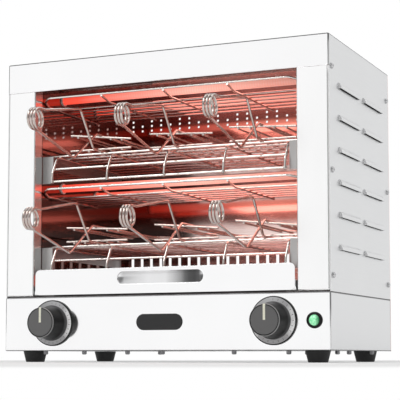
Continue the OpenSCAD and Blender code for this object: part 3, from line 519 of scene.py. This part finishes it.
# A darker copy of the screw steel: painted shade on the studs under the base.
shaded_stud_steel = bright_steel("shaded_stud_steel", (0.30, 0.30, 0.31), 0.30)
stud_profile = [(0.0, 4.5), (1.6, 4.45), (2.5, 4.1), (2.95, 3.4), (3.0, 2.6), (3.0, 0.0), (0.0, 0.0)]
front_studs = [(x, -51.06) for x in (-167.2, -111.1, -49.94, -1.76, 93.5, 163.24)]
rear_studs = [(-110.0, 168.54), (110.0, 168.54)]
side_studs = [(-206.8, -0.26), (206.8, -0.26), (206.8, 46.84), (206.8, 145.66)]
base_under, bolt_seat = 14 * mm, 9 * mm
stud_places = [(x * mm, y * mm, base_under) for x, y in front_studs + rear_studs + side_studs]
studs = set_out_pieces("base_studs", turned("stud", stud_profile, 24), stud_places,
                       [(0, 0, -1)] * len(stud_places), shaded_stud_steel)
settle(studs, "cabinet", "fastener")
bolt_profile = [(0.0, 3.0), (3.6, 3.0), (4.25, 2.5), (4.25, 0.0), (0.0, 0.0)]
bolt_places = [(x, y, bolt_seat) for x, y, z in foot_places]
bolts = set_out_pieces("foot_bolts", turned("bolt_head", bolt_profile, 6), bolt_places,
                       [(0, 0, -1)] * len(bolt_places), screw_steel)
settle(bolts, "cabinet", "fastener")

# The cavity liner: bright stainless sheet that throws the heat back on to the bread. It has taken a straw and
# brown tint in bands level with the tubes, where it runs hottest, and so has the inside of the back panel.
# The pink of the whole liner and the red of those bands are also painted red glow.
tube_heights = (113 * mm, 231 * mm, 350 * mm)


# A tone below one is painted shade, on the left of the sheet or on its lower deck. The tint named outside
# goes on the face behind.
def heat_tint_and_glow(name, cool, warm, roughness, outside=None, left_tone=1.0, low_tone=1.0):
    material, tree, bsdf = shade(name)
    place = own_place(tree)
    spot = parts_of(tree, place)
    streak = noise(tree, stretched(tree, place, (12.0, 12.0, 700.0)), 1.0, 4.0)
    near = 1.0
    for height in tube_heights:
        away = maths(tree, "ABSOLUTE", maths(tree, "SUBTRACT", spot["Z"], height))
        near = maths(tree, "MINIMUM", near, away)
    streaky_heat = maths(tree, "MULTIPLY_ADD", streak, 0.5, ranged(tree, near, 0.062, 0.012))
    tint = mixed(tree, maths(tree, "SUBTRACT", streaky_heat, 0.25, clamp=True), cool, warm)
    # Painted shade: darker towards the left and below the upper deck.
    left_shade = ranged(tree, spot["X"], -0.15, 0.02, left_tone, 1.0)
    low_shade = ranged(tree, spot["Z"], 0.20, 0.24, low_tone, 1.0)
    shaded_tint = vector_maths(tree, "SCALE", tint)
    feed(tree, shaded_tint.inputs["Scale"], maths(tree, "MULTIPLY", left_shade, low_shade))
    colour = shaded_tint.outputs["Vector"]
    if outside:
        colour = mixed(tree, maths(tree, "GREATER_THAN", facing_parts(tree)["Y"], 0.3), colour, outside)
    feed(tree, bsdf.inputs["Base Color"], colour)
    feed(tree, bsdf.inputs["Roughness"], ranged(tree, streak, 0.0, 1.0, roughness * 0.7, roughness * 1.3))
    bsdf.inputs["Metallic"].default_value = 1.0
    relief(tree, bsdf, streak, 0.02, 0.0004)
    return material


# The pinks and reds in these liner tones are partly heat tint and partly painted red glow.
wall_cool, wall_warm, wall_roughness = (0.56, 0.42, 0.40), (0.46, 0.23, 0.20), 0.028
left_liner = heat_tint_and_glow("left_liner", wall_cool, wall_warm, wall_roughness, left_tone=0.75, low_tone=0.45)
right_liner = heat_tint_and_glow("right_liner", wall_cool, wall_warm, wall_roughness)
# The cavity floor is given a near-black tone.
dark_cavity_floor = heat_tint_and_glow("dark_cavity_floor", (0.10, 0.09, 0.09), (0.07, 0.06, 0.06), 0.30)
tinted_roof = heat_tint_and_glow("heat_tinted_roof", (0.50, 0.36, 0.34), (0.40, 0.18, 0.155), 0.26)
tinted_back = heat_tint_and_glow("heat_tinted_back", (0.86, 0.72, 0.68), (0.66, 0.40, 0.36), 0.11,
                          outside=satin_tone, left_tone=0.45)
dress(left_liner, "left_cavity_wall")
dress(right_liner, "right_cavity_wall")
dress(dark_cavity_floor, "cavity_floor")
dress(tinted_roof, "roof_reflector")
dress(tinted_back, "back_panel")
bracket_sheet = sheet_steel("bracket_sheet", (0.50, 0.49, 0.485), 0.32, "y")
dress(bracket_sheet, "rack_rails", "tray_runners", "rear_angles")

# The heaters: milky quartz tubes with a wound wire inside, hot enough to glow through the quartz. Each end is
# held in a white ceramic cap in the cavity wall. A small lamp under each of the two upper rows casts their
# light on the decks.
glowing_quartz, tree, bsdf = shade("glowing_quartz")
place = own_place(tree)
spot = parts_of(tree, place)
windings = tree.nodes.new("ShaderNodeTexWave")
windings.wave_type = "BANDS"
windings.bands_direction = "X"
windings.inputs["Scale"].default_value = 90.0
windings.inputs["Distortion"].default_value = 0.5
tree.links.new(place, windings.inputs["Vector"])
patchy = maths(tree, "MULTIPLY_ADD", noise(tree, place, 14.0), 0.35, ranged(tree, spot["X"], -0.16, 0.02))
milky = maths(tree, "SUBTRACT", patchy, 0.17, clamp=True)
heat_tone = mixed(tree, milky, (0.64, 0.050, 0.027), (0.70, 0.365, 0.300))
wound_tone = mixed(tree, windings.outputs["Fac"], heat_tone, (0.96, 0.80, 0.78), blend="MULTIPLY")
row_power = ranged(tree, spot["Z"], 0.14, 0.20, 0.45, 1.45)
right_end = ranged(tree, spot["X"], 0.02, 0.15, 1.0, 0.55)
feed(tree, bsdf.inputs["Emission Color"], wound_tone)
feed(tree, bsdf.inputs["Emission Strength"], maths(tree, "MULTIPLY", row_power, right_end))
bsdf.inputs["Base Color"].default_value = (0.45, 0.14, 0.11, 1)
bsdf.inputs["Roughness"].default_value = 0.15
dress(glowing_quartz, "quartz_tubes")
glow_x, glow_y = 0.06, 56 * mm
for name, height in (("top_glow", 345 * mm), ("middle_glow", 226 * mm)):
    glow = soft_lamp(name, (glow_x, glow_y, height), aim=(glow_x, glow_y, 0.0), width=0.21, watts=0.17)
    glow.data.shape = "RECTANGLE"
    glow.data.size_y = 0.12
    glow.data.color = (1.0, 0.42, 0.35)
    glow.visible_camera = False
dress(bright_steel("hot_wire", (0.9, 0.3, 0.15), 0.4), "heating_coils")
white_ceramic, tree, bsdf = shade("white_ceramic")
glaze = noise(tree, own_place(tree), 220.0)
feed(tree, bsdf.inputs["Base Color"], mixed(tree, glaze, (0.78, 0.75, 0.70), (0.88, 0.86, 0.83)))
bsdf.inputs["Roughness"].default_value = 0.45
dress(white_ceramic, "ceramic_caps")

# The heater guards: bright wire frames with rounded front corners, carried on tabs below each row of tubes.
# Cross wires are welded on top, and the front wire is lifted so that bread slides under it.

# Each strand becomes a curve with rounded bends, and gets a round section of its own radius.
wire_inputs = (("Bend", "Float"), ("Steps", "Int"), ("Sides", "Int"), ("Finish", "Material"))
wire_sweep, entry, leave = tree_with("bent_and_swept_wire", wire_inputs)
strand = wire_sweep.nodes.new("GeometryNodeMeshToCurve")
round_bend = wire_sweep.nodes.new("GeometryNodeFilletCurve")
round_bend.mode = "POLY"
round_bend.inputs["Limit Radius"].default_value = True
section = wire_sweep.nodes.new("GeometryNodeCurvePrimitiveCircle")
section.inputs["Radius"].default_value = 1.0
thick = wire_sweep.nodes.new("GeometryNodeInputNamedAttribute")
thick.data_type = "FLOAT"
thick.inputs["Name"].default_value = "wire_radius"
skin = wire_sweep.nodes.new("GeometryNodeCurveToMesh")
skin.inputs["Fill Caps"].default_value = True
real = wire_sweep.nodes.new("GeometryNodeRealizeInstances")
finish = wire_sweep.nodes.new("GeometryNodeSetMaterial")
wire_sweep.links.new(entry["Geometry"], strand.inputs["Mesh"])
wire_sweep.links.new(strand.outputs["Curve"], round_bend.inputs["Curve"])
wire_sweep.links.new(entry["Bend"], round_bend.inputs["Radius"])
wire_sweep.links.new(entry["Steps"], round_bend.inputs["Count"])
wire_sweep.links.new(entry["Sides"], section.inputs["Resolution"])
wire_sweep.links.new(round_bend.outputs["Curve"], skin.inputs["Curve"])
wire_sweep.links.new(section.outputs["Curve"], skin.inputs["Profile Curve"])
wire_sweep.links.new(thick.outputs["Attribute"], skin.inputs["Scale"])
wire_sweep.links.new(skin.outputs["Mesh"], real.inputs["Geometry"])
wire_sweep.links.new(real.outputs["Geometry"], finish.inputs["Geometry"])
wire_sweep.links.new(entry["Finish"], finish.inputs["Material"])
wire_sweep.links.new(finish.outputs["Geometry"], leave["Geometry"])


def wires(name, strands, material, bend, steps=8):
    points, runs, radii = [], [], []
    for radius, path in strands:
        first = len(points)
        points += [tuple(p) for p in path]
        runs += [(first + k, first + k + 1) for k in range(len(path) - 1)]
        radii += [radius] * len(path)
    mesh = bpy.data.meshes.new(name)
    mesh.from_pydata(points, runs, [])
    mesh.attributes.new("wire_radius", "FLOAT", "POINT").data.foreach_set("value", radii)
    sides = 14
    piece = grown(name, mesh, wire_sweep, Bend=bend, Steps=steps, Sides=sides, Finish=material)
    piece.data.shade_smooth()
    piece.data.set_sharp_from_angle(angle=math.radians(50))
    return piece


# A finish's tree, its colour socket and what feeds that, so that another tone can be laid over it.
def finish_of(material):
    tree = material.node_tree
    tone_in = tree.nodes["Principled BSDF"].inputs["Base Color"]
    return tree, tone_in, tone_in.links[0].from_socket


chromed_wire = bright_steel("chromed_wire", (0.86, 0.82, 0.78), 0.14)
tree, tone_in, chrome = finish_of(chromed_wire)
# Deeper in the cabinet the wire turns darker and redder: painted red glow and shade from the cavity.
painted_glow_inward = ranged(tree, parts_of(tree, own_place(tree))["Y"], -0.035, 0.020)
feed(tree, tone_in, mixed(tree, painted_glow_inward, chrome, (0.52, 0.35, 0.32)))
rack_wire, weld = 1.5 * mm, 2.6 * mm
guard_half, guard_front, guard_corner, guard_lip = 177.2 * mm, front_y + 10 * mm, 12 * mm, 7.5 * mm
guard_bend, guard_grid, guard_back = guard_front + 23 * mm, guard_front + 56 * mm, guard_front + 159 * mm
guard_rows, guard_pitch, guard_runs, guard_round = 6, 20 * mm, (-87 * mm, 0.0, 87 * mm), 9 * mm
for name, z in (("top_guard", 334 * mm), ("middle_guard", 215 * mm)):
    half_frame = [(guard_half, guard_back, z), (guard_half, guard_bend, z),
                  (guard_half, guard_front + guard_corner, z + 5 * mm),
                  (guard_half - guard_corner, guard_front, z + guard_lip)]
    strands = [(rack_wire, [(-x, y, h) for x, y, h in half_frame] + half_frame[::-1])]
    for k in range(guard_rows):
        y = guard_grid + k * guard_pitch
        strands.append((rack_wire, [(-guard_half - mm, y, z + weld), (guard_half + mm, y, z + weld)]))
    for x in guard_runs:
        front_end = (x, guard_front - rack_wire, z + guard_lip - weld)
        strands.append((rack_wire, [(x, guard_back, z), (x, guard_bend, z), front_end]))
    settle(wires(name + "_wires", strands, chromed_wire, guard_round), "cabinet", "wire", name)

# The racks: five depth wires each, bent down at the front into a fence, with nine cross wires welded on top
# and two along the fence. They rest on folded rails on the cavity walls.
rack_heights = {"upper": 268 * mm, "lower": 149 * mm}
rack_front, rack_half, fence_half = front_y + 33 * mm, 171 * mm, 161.5 * mm
rack_rows, rack_pitch, run_pitch, rack_round = 9, 23 * mm, 80 * mm, 7 * mm
rack_back = rack_front + 187 * mm
fence_bends = ((-8, -2.6), (-20, -24.0), (-22, -38.0))
fence_rows = ((-14.13, -18.85), (-19.03, -35.57))
for deck, z in rack_heights.items():
    strands = []
    for k in range(rack_rows):
        y = rack_front + k * rack_pitch
        strands.append((rack_wire, [(-rack_half, y, z), (rack_half, y, z)]))
    for k in range(-2, 3):
        x = k * run_pitch
        bends = [(x, rack_front + dy * mm, z + dz * mm) for dy, dz in fence_bends]
        strands.append((rack_wire, [(x, rack_back, z - weld)] + bends))
    for dy, dz in fence_rows:
        y, h = rack_front + dy * mm, z + dz * mm
        strands.append((rack_wire, [(-fence_half, y, h), (fence_half, y, h)]))
    rack = wires(deck + "_rack_wires", strands, chromed_wire, rack_round)
    settle(rack, "cabinet", "wire", deck + "_rack", "rack_fences")


# The crumb tray: a folded pan that slides on two runners, behind a polished front with rounded corners. A
# pressed bright cup is let into the front for the finger tips; its run from light to dark along its length is
# a painted reflection.
def toned_along(tree, value, stops, blue=1.0):
    step = tree.nodes.new("ShaderNodeValToRGB")
    elements = step.color_ramp.elements
    for k, (where, tone) in enumerate(stops):
        stop = elements[k] if k < 2 else elements.new(where)
        stop.position = where
        stop.color = (tone, tone, tone * blue, 1)
    tree.links.new(value, step.inputs["Fac"])
    return step.outputs["Color"]


polished_tray = sheet_steel("polished_tray_sheet", polish_tone, polish_roughness, "x")
folded("crumb_tray", polished_tray, "tray", "casing")
pressed_cup = bright_steel("pressed_cup", (0.80, 0.80, 0.81), 0.12)
cup_half = 58.5 * mm
# Tones along the cup: a painted reflection.
cup_reflection_stops = ((0.0, 0.95), (0.06, 0.62), (0.22, 0.72), (0.34, 0.80), (0.54, 0.78), (0.63, 0.56), (0.72, 0.33),
             (0.77, 0.15), (0.82, 0.09), (0.89, 0.075), (0.94, 0.12), (0.97, 0.55), (1.0, 0.60))
tree, tone_in = finish_of(pressed_cup)[:2]
along_cup = ranged(tree, parts_of(tree, own_place(tree))["X"], -cup_half, cup_half)
feed(tree, tone_in, toned_along(tree, along_cup, cup_reflection_stops, blue=1.01))
folded("tray_grip", pressed_cup, "tray", "grip", edge=0.0003, flat_area=1.0)


# The controls: black moulded knobs on steel shafts, each with a matt face and a pale line let into it, in
# front of a thin black disc with a spun silver face. The switch and the timer behind the panel are cream
# mouldings.
def moulding(name, tone, roughness, front_tone=None, sheen=0.5):
    material, tree, bsdf = shade(name)
    spark = noise(tree, own_place(tree), 900.0, 3.0)
    colour = uneven(tree, spark, tone, 0.8, 1.15)
    if front_tone:
        colour = mixed(tree, ranged(tree, facing_parts(tree)["Y"], -0.75, -0.95), colour, front_tone)
    feed(tree, bsdf.inputs["Base Color"], colour)
    bsdf.inputs["Roughness"].default_value = roughness
    bsdf.inputs["Specular IOR Level"].default_value = sheen
    relief(tree, bsdf, spark, 0.1, 0.0002)
    return material


def facing_front(mesh, x, z):
    mesh.transform(Matrix.Translation((x, front_y, z)) @ Matrix.Rotation(math.radians(90), 4, "X"))
    return mesh


knob_x, knob_z = 149.5 * mm, 49.3 * mm
in_panel = (1.0, 0.0, 1.0)
black = (0.014, 0.014, 0.014)
ring_black = moulding("ring_black", black, 0.3, sheen=0.2)
pale_line = moulding("pale_line", (1.0, 1.0, 0.76), 0.4)
print_dark = moulding("print_dark", (0.05, 0.05, 0.05), 0.6)
knob_black = moulding("knob_black", black, 0.32, front_tone=(0.160, 0.160, 0.163), sheen=0.15)
tree, tone_in, plain_black = finish_of(knob_black)
same_side = vector_maths(tree, "ABSOLUTE", own_place(tree)).outputs["Vector"]
from_shaft = vector_maths(tree, "SUBTRACT", same_side, (knob_x, -front_y, knob_z)).outputs["Vector"]
face_place = vector_maths(tree, "MULTIPLY", from_shaft, in_panel).outputs["Vector"]
face_radius = vector_maths(tree, "LENGTH", face_place).outputs["Value"]
# Round the front of the knob: the groove painted black as shade, then a painted highlight on the shoulder.
# Near the skirt, a lighter band is a painted highlight.
rim_light_and_shade_stops = ((0.0, 0.16), (0.16, 0.16), (0.22, 0.008), (0.48, 0.008), (0.58, 0.30), (0.80, 0.34), (1.0, 0.02))
painted_rim_tone = toned_along(tree, ranged(tree, face_radius, 16.5 * mm, 19.5 * mm), rim_light_and_shade_stops)
knob_depth = parts_of(tree, from_shaft)["Y"]
rimmed = mixed(tree, maths(tree, "GREATER_THAN", knob_depth, 30.8 * mm), plain_black, painted_rim_tone)
skirt_highlight = ranged(tree, knob_depth, 9.0 * mm, 5.5 * mm)
feed(tree, tone_in, mixed(tree, skirt_highlight, rimmed, (0.11, 0.11, 0.112)))


def spun_and_highlit_silver(name, middle_x):
    material, tree, bsdf = shade(name)
    centred = tree.nodes.new("ShaderNodeMapping")
    centred.inputs["Location"].default_value = (-middle_x, 0.0, -knob_z)
    tree.links.new(own_place(tree), centred.inputs["Vector"])
    flat = vector_maths(tree, "MULTIPLY", centred.outputs["Vector"], in_panel).outputs["Vector"]
    outward = vector_maths(tree, "NORMALIZE", flat).outputs["Vector"]
    # The face turns white towards the left and right of the dial: a painted highlight.
    sideways = maths(tree, "ABSOLUTE", parts_of(tree, outward)["X"])
    sheen = ranged(tree, sideways, 0.62, 0.98, smooth=True)
    grooves = tree.nodes.new("ShaderNodeTexWave")
    grooves.wave_type = "RINGS"
    grooves.rings_direction = "SPHERICAL"
    grooves.inputs["Scale"].default_value = 900.0
    tree.links.new(flat, grooves.inputs["Vector"])
    feed(tree, bsdf.inputs["Base Color"], mixed(tree, sheen, (0.40, 0.40, 0.405), (1.0, 1.0, 1.0)))
    feed(tree, bsdf.inputs["Roughness"], ranged(tree, grooves.outputs["Fac"], 0.0, 1.0, 0.30, 0.42))
    bsdf.inputs["Metallic"].default_value = 0.8
    return material


def dial_marks(name, x, sweep):
    mark = bmesh.new()
    bmesh.ops.create_cube(mark, size=1.0)
    bmesh.ops.scale(mark, vec=(0.45 * mm, 0.12 * mm, 2.4 * mm), verts=mark.verts[:])
    spaces, radius, out = 20, 25.0 * mm, front_y - 2.99 * mm
    angles = [math.radians(90 - sweep * k / spaces) for k in range(spaces + 1)]
    rays = [(math.cos(a), math.sin(a)) for a in angles]
    places = [(x + radius * right, out, knob_z + radius * up) for right, up in rays]
    return set_out_pieces(name, mesh_of(mark, "dial_mark"), places, [(right, 0, up) for right, up in rays],
                          print_dark)


def pointer_line(name):
    line = bmesh.new()
    path = ((0.0, 32.5), (6.0, 32.5), (12.0, 32.5), (17.4, 32.5), (18.25, 32.3), (18.7, 31.9))
    bar_section = ((-1.55, -0.2), (-1.4, 0.35), (1.4, 0.35), (1.55, -0.2))
    rows = []
    for up, out in path:
        rows.append([line.verts.new((w * mm, up * mm, (out + lift) * mm)) for w, lift in bar_section])
    for a, b in zip(rows, rows[1:]):
        for k in range(4):
            line.faces.new((a[k], a[(k + 1) % 4], b[(k + 1) % 4], b[k]))
    line.faces.new(rows[0])
    line.faces.new(rows[-1][::-1])
    bmesh.ops.recalc_face_normals(line, faces=line.faces[:])
    return mesh_of(line, name)


knob_profile = [(0.0, 32.5), (16.9, 32.5), (17.2, 31.7), (17.6, 31.7), (17.9, 32.4), (18.4, 32.25),
                (18.85, 31.6), (19.0, 30.6), (19.35, 25.0), (20.0, 16.0), (20.9, 8.0), (21.7, 5.2),
                (22.4, 4.6), (22.5, 4.0), (22.2, 3.3), (0.0, 3.3)]
rim_profile = [(5.2, 2.7), (28.6, 2.7), (28.9, 2.6), (29.0, 2.3), (29.0, 0.0), (5.2, 0.0)]
face_profile = [(6.0, 3.0), (27.4, 3.0), (27.6, 2.9), (27.6, 2.65), (6.0, 2.65)]
for side, x, sweep in (("left", -knob_x, 270), ("right", knob_x, 300)):
    rim, face, cap = side + "_dial_rim", side + "_dial_face", side + "_knob_cap"
    rim_mesh = facing_front(turned(rim, rim_profile, 96), x, knob_z)
    settle(show(rim, rim_mesh, ring_black), "cabinet", "knob", side + "_dial")
    face_mesh = facing_front(turned(face, face_profile, 96), x, knob_z)
    settle(show(face, face_mesh, spun_and_highlit_silver(side + "_spun_and_highlit_silver", x)), "cabinet", "dial")
    settle(dial_marks(side + "_dial_marks", x, sweep), "cabinet", "knob")
    cap_mesh = facing_front(turned(cap, knob_profile, 96), x, knob_z)
    settle(show(cap, cap_mesh, knob_black), side + "_control", "knob", side + "_knob")
    line_mesh = facing_front(pointer_line(side + "_line"), x, knob_z)
    settle(show(side + "_knob_line", line_mesh, pale_line), side + "_control", "pointer", side + "_pointer")
dress(bright_steel("shaft_steel", (0.6, 0.6, 0.61), 0.25), "left_shaft", "right_shaft")
dress(moulding("cream_moulding", (0.68, 0.62, 0.50), 0.5), "selector_switch", "timer", "terminal_block")

# The pilot lamp and the badge: a dark bezel clipped into the panel round a cut green lens that is lit, and a
# bare dark plate with rounded ends.
lamp_x = 200 * mm
bezel_profile = [(6.5, -15.0), (6.5, 2.2), (6.9, 2.9), (7.7, 3.0), (8.9, 2.6), (9.6, 1.7), (9.75, 0.6),
                 (9.75, 0.0), (7.9, 0.0), (7.9, -15.0)]
bezel = facing_front(turned("lamp_rim", bezel_profile, 64), lamp_x, knob_z)
settle(show("lamp_rim", bezel, ring_black), "cabinet", "bezel", "lamp_bezel")
lens_profile = [(0.0, 5.0), (1.7, 4.85), (3.3, 4.35), (4.8, 3.6), (5.9, 2.7), (6.4, 1.9), (6.4, -12.0),
                (0.0, -12.0)]
lens = facing_front(turned("green_lens", lens_profile, 14), lamp_x, knob_z)
lens.shade_flat()
lit_green, tree, bsdf = shade("lit_green")
place = own_place(tree)
cuts = tree.nodes.new("ShaderNodeTexVoronoi")
cuts.inputs["Scale"].default_value = 420.0
tree.links.new(place, cuts.inputs["Vector"])
cut_green = mixed(tree, cuts.outputs["Distance"], (0.10, 0.56, 0.24), (0.48, 0.94, 0.60))
# The lens darkens towards its right side: painted shade.
shaded_far_side = ranged(tree, parts_of(tree, place)["X"], lamp_x + 1.5 * mm, lamp_x + 6.0 * mm)
lens_green = mixed(tree, shaded_far_side, cut_green, (0.02, 0.16, 0.06))
feed(tree, bsdf.inputs["Base Color"], lens_green)
feed(tree, bsdf.inputs["Emission Color"], lens_green)
bsdf.inputs["Emission Strength"].default_value = 0.60
bsdf.inputs["Roughness"].default_value = 0.12
settle(show("green_lens", lens, lit_green), "cabinet", "lens", "lamp_lens")
badge_dark = moulding("badge_dark", (0.014, 0.014, 0.0145), 0.42)
folded("badge_plate", badge_dark, "cabinet", "knob", edge=0.0005)

# The mains entry: a gland with a ribbed dome nut, moulded in black plastic. It is screwed through the back
# panel, ready for a round cord.
dress(moulding("gland_black", (0.02, 0.02, 0.02), 0.45), "cable_gland")

# The clamps: hard spring wire in a warm brownish grey tone. One arm runs on to the lower jaw, the other
# crosses it to the upper jaw, and the coil between them pushes the handle open and the jaws together.
warm_grey_wire = bright_steel("warm_grey_wire", (0.66, 0.58, 0.54), 0.18)
arm, bar, rod, arm_round = 1.6 * mm, 1.5 * mm, 1.25 * mm, 8 * mm
clamp_pitch, coil_lift = 109.19 * mm, 19.6 * mm
per_deck = 3
pulls, shifts, rolls = (127, 111, 117, 130, 111, 108), (8, 5.5, 10, 5, 13, 14), (6, 3, 3, 3, 5, 6)
coil_half, coil_radius, coil_steps, step_angle = 5, 11.8, 90, 10
jaw_half, jaw_start, jaw_tip, rod_drop = 44, 159, 295, 2.35
jaw_bars, jaw_rods = (162, 292), (-32, -16, 16, 32)
low_grid, high_grid = -13.5, 2.4
low_arm = ((coil_half, 3.2, coil_radius), (coil_half, 12.2, coil_radius), (2, 103, 29), (2, 138, -16.2),
           (2, jaw_tip, -16.2))
high_arm = ((-coil_half, 3.2, -coil_radius), (-coil_half, 12.2, -coil_radius), (-2, 94, -34), (-2, 153, 5.1),
            (-2, jaw_tip, 5.1))
helix = [low_arm[0]]
for k in range(coil_steps + 1):
    a = math.radians(90 + step_angle * k)
    x = coil_half - 2 * coil_half * k / coil_steps
    helix.append((x, coil_radius * math.cos(a), coil_radius * math.sin(a)))
helix.append(high_arm[0])


def from_coil(centre, points):
    return [centre + Vector(point) * mm for point in points]


def jaw_grid(centre, height, roll):
    cos, sin = math.cos(roll), math.sin(roll)
    strands = []
    for y in jaw_bars:
        ends = [(w * cos, y, height - w * sin) for w in (-jaw_half, jaw_half)]
        strands.append((bar, from_coil(centre, ends)))
    for w in jaw_rods:
        x, z = w * cos - rod_drop * sin, height - w * sin - rod_drop * cos
        strands.append((rod, from_coil(centre, [(x, jaw_start, z), (x, jaw_tip, z)])))
    return strands


for i, (pull, shift, roll) in enumerate(zip(pulls, shifts, rolls)):
    number = "clamp_%d" % (i + 1)
    z = rack_heights["upper" if i < per_deck else "lower"] + coil_lift
    centre = Vector(((i % per_deck - 1) * clamp_pitch + shift * mm, front_y - pull * mm, z))
    low_strands = [(arm, from_coil(centre, low_arm))] + jaw_grid(centre, low_grid, 0.0)
    high_strands = [(arm, from_coil(centre, high_arm))] + jaw_grid(centre, high_grid, math.radians(roll))
    low_jaw = wires(number + "_low_wires", low_strands, warm_grey_wire, arm_round)
    settle(low_jaw, number, "spring_wire", number + "_lower_jaw")
    high_jaw = wires(number + "_high_wires", high_strands, warm_grey_wire, arm_round)
    settle(high_jaw, number + "_top", "spring_wire", number + "_upper_jaw")
    coil = wires(number + "_coil", [(arm, from_coil(centre, helix))], warm_grey_wire, 0.0, steps=1)
    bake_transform(coil)
    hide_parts(number + "_spring")
